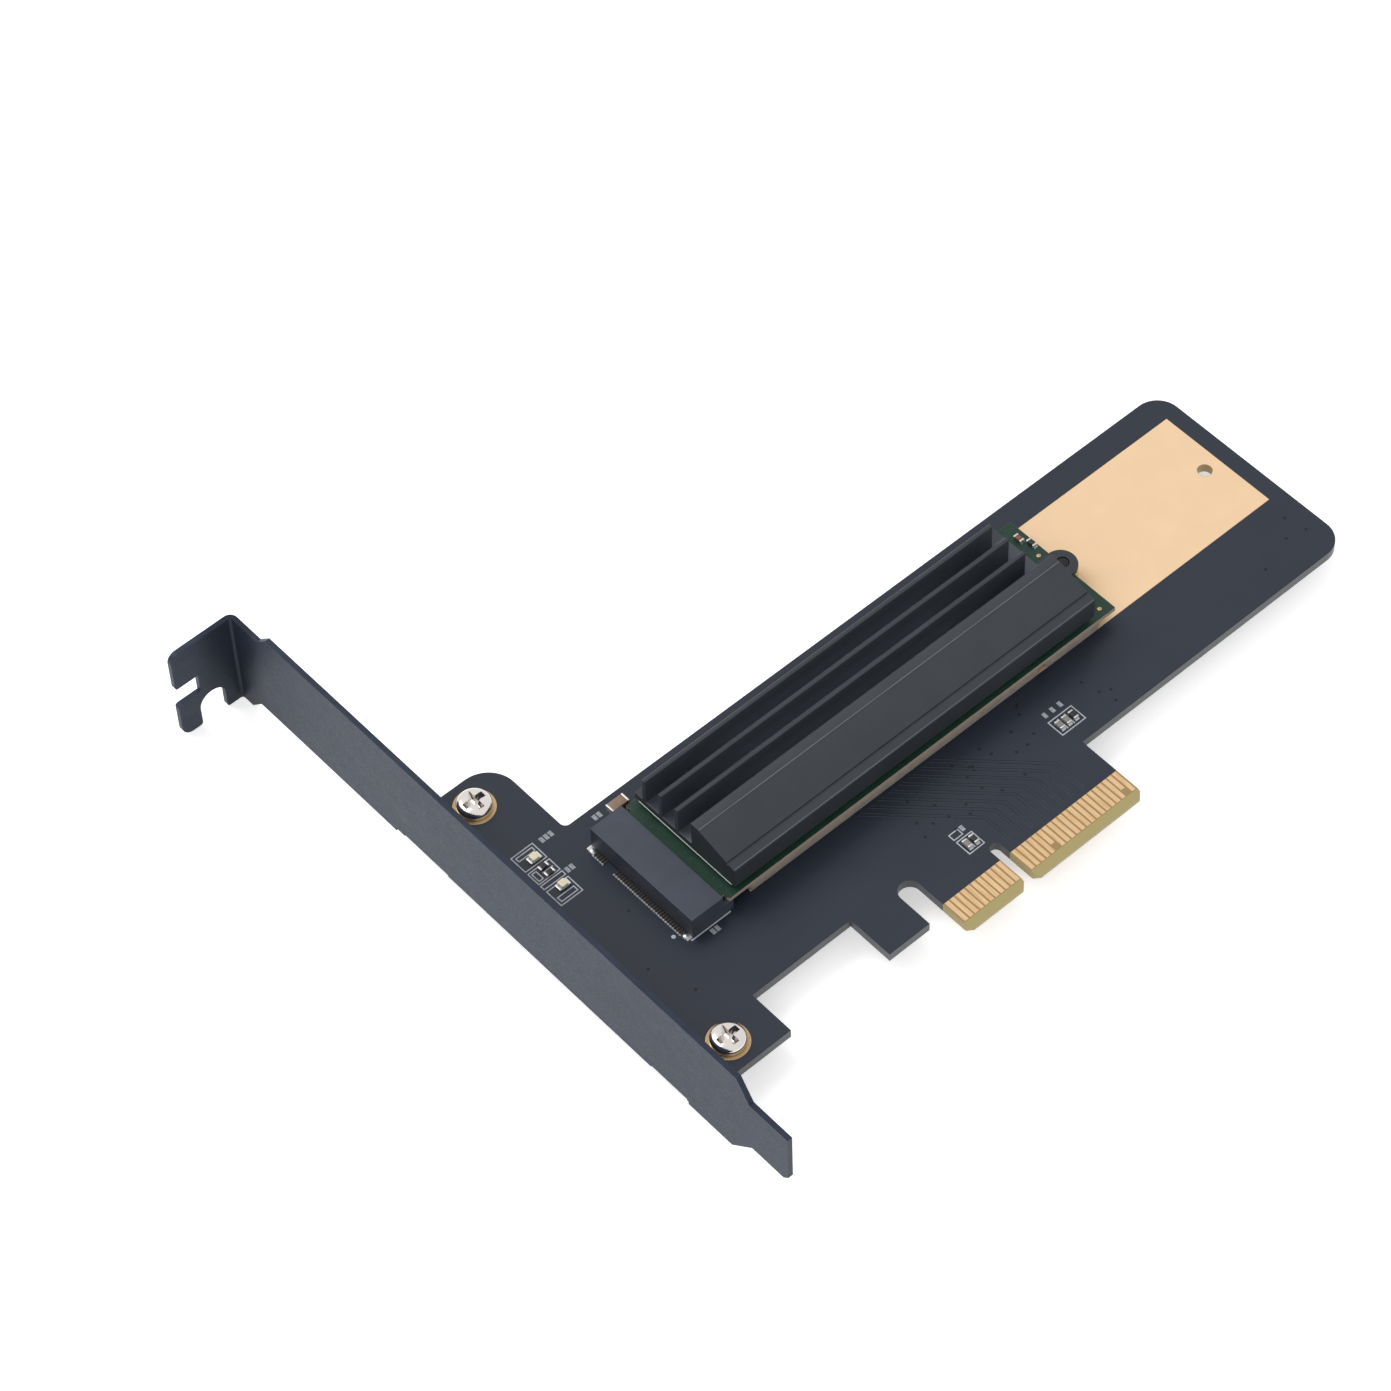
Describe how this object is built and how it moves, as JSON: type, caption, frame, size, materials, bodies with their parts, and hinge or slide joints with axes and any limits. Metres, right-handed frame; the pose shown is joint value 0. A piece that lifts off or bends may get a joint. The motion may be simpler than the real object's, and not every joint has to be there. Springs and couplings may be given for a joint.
{
  "type": "nvme adapter card",
  "caption": "Low flat expansion card with a keyed edge connector, a slot bracket, and a drive module in a socket under a finned heatsink.",
  "frame": {"origin": "centre line of the edge connector's key notch, at the tongue's lower edge, on the board's component surface", "axes": "+X along the card, away from the bracket; +Y up the card, out of the slot; +Z out of the component side"},
  "size_m": [0.1473, 0.12, 0.0211],
  "materials": {
    "solder_mask_black": "satin solder mask over glass laminate",
    "gold_plating": "satin gold plating",
    "bracket_steel": "dull zinc plating",
    "screw_nickel": "nickel plating",
    "tinned_metal": "bright tin plating",
    "socket_plastic": "fine matte moulding",
    "contact_gold": "bright gold over copper alloy",
    "drive_mask_green": "satin solder mask over glass laminate",
    "chip_resin": "matte moulded resin",
    "thermal_pad_grey": "soft matte silicone",
    "thermal_pad_light": "soft matte silicone",
    "anodised_black": "black anodised extrusion",
    "standoff_brass": "turned brass",
    "screw_black": "black zinc plating",
    "ceramic_tan": "fired ceramic",
    "ceramic_black": "glazed ceramic",
    "led_lens": "clear epoxy"
  },
  "bodies": {
    "root": {"adapter_board": "solder_mask_black", "edge_fingers_component": "gold_plating", "edge_fingers_solder": "gold_plating", "cooling_plating": "gold_plating", "bracket_screw_rings": "tinned_metal", "bracket": "bracket_steel", "bracket_screws": "screw_nickel", "m2_socket_housing": "socket_plastic", "m2_socket_upper_contacts": "contact_gold", "m2_socket_lower_contacts": "contact_gold", "m2_socket_solder_tabs": "tinned_metal", "drive_board": "drive_mask_green", "drive_upper_contacts": "contact_gold", "drive_lower_contacts": "contact_gold", "drive_controller": "chip_resin", "drive_buffer_memory": "chip_resin", "drive_flash_memory": "chip_resin", "drive_end_capacitors": "ceramic_tan", "lower_pad_main": "thermal_pad_grey", "lower_pad_end": "thermal_pad_grey", "upper_thermal_pad": "thermal_pad_light", "heatsink": "anodised_black", "standoff": "standoff_brass", "heatsink_screw": "screw_black", "led_resistors": "ceramic_black", "socket_capacitor": "ceramic_tan", "connector_capacitors": "ceramic_tan", "supply_capacitors": "ceramic_tan", "status_leds": "led_lens"}
  },
  "joints": []
}
